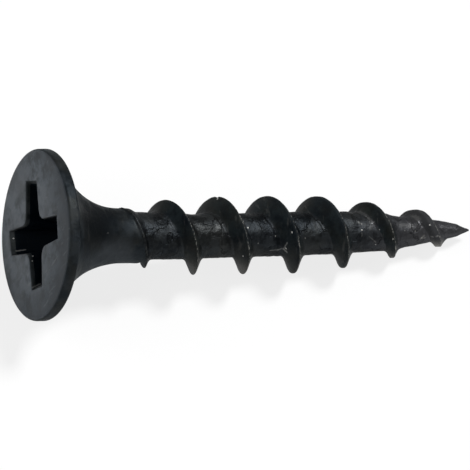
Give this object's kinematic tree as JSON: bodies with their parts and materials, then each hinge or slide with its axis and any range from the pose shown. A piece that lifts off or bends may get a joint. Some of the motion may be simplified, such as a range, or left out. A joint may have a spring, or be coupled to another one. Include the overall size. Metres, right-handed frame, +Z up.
{
  "type": "drywall screw",
  "caption": "Bugle-head drywall screw with a cross recess, coarse right-hand thread and needle point, in black phosphate, lying on its rim and thread.",
  "frame": {"origin": "centre of the bounding box at the level of the ground that the screw lies on", "axes": "+Z up, +X from the head towards the point; the screw's axis falls towards the point by 8.67 degrees"},
  "size_m": [0.0246, 0.0086, 0.0086],
  "materials": {
    "phosphate_steel": "matt black phosphate"
  },
  "bodies": {
    "root": {"screw": "phosphate_steel"}
  },
  "joints": []
}
